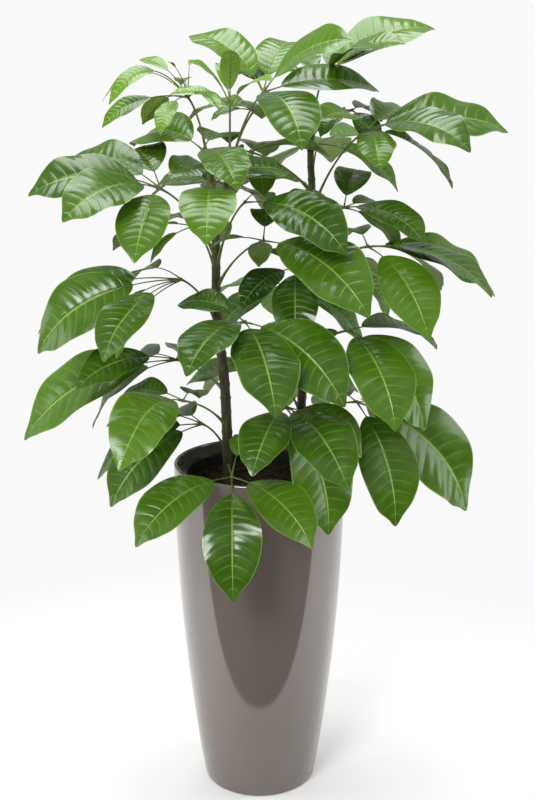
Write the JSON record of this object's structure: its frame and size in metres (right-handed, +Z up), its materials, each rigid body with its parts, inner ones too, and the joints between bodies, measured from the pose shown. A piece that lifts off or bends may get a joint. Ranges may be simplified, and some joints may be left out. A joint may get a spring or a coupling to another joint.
{
  "type": "potted umbrella plant",
  "caption": "Umbrella plant with large drooping palmate leaves on slender stems, growing in potting mix in a tall round glossy taupe planter.",
  "frame": {"origin": "centre of the planter's flat underside", "axes": "+Z up the plant; the viewed front faces -Y; +X to the viewer's right"},
  "size_m": [1.112, 0.889, 1.8028],
  "materials": {
    "planter": "smooth high-gloss taupe lacquer",
    "liner": "plain black moulded plastic",
    "soil": "dark damp potting mix of bark and peat",
    "stem": "olive-green to brown bark with leaf scars",
    "leaf": "glossy deep green leaf, paler underneath",
    "young_leaf": "glossy fresh yellow-green leaf"
  },
  "bodies": {
    "root": {"planter": "planter", "liner": "liner", "soil": "soil", "stem_left": "stem", "stem_right": "stem", "leaf_young_left": "young_leaf", "leaf_young_centre": "young_leaf", "leaf_top": "leaf", "leaf_top_low": "leaf", "leaf_top_right": "leaf", "leaf_small_right": "leaf", "leaf_right_upper": "leaf", "leaf_left_apex": "leaf", "leaf_front_heart": "leaf", "leaf_left_upper": "leaf", "leaf_left_back": "leaf", "leaf_left_middle": "leaf", "leaf_left_low": "leaf", "leaf_left_bright": "leaf", "leaf_centre": "leaf", "leaf_centre_dark": "leaf", "leaf_centre_upper": "leaf", "leaf_centre_lower": "leaf", "leaf_inner_upper": "leaf", "leaf_right_inner": "leaf", "leaf_right_middle": "leaf", "leaf_right_back": "leaf", "leaf_right_glossy": "leaf", "leaf_right_low": "leaf", "leaf_front_right": "leaf", "leaf_front_low": "leaf", "leaf_left_lowest": "leaf", "leaf_back_upper_left": "leaf", "leaf_back_upper_right": "leaf", "leaf_back_middle": "leaf", "leaf_back_low": "leaf"}
  },
  "joints": []
}
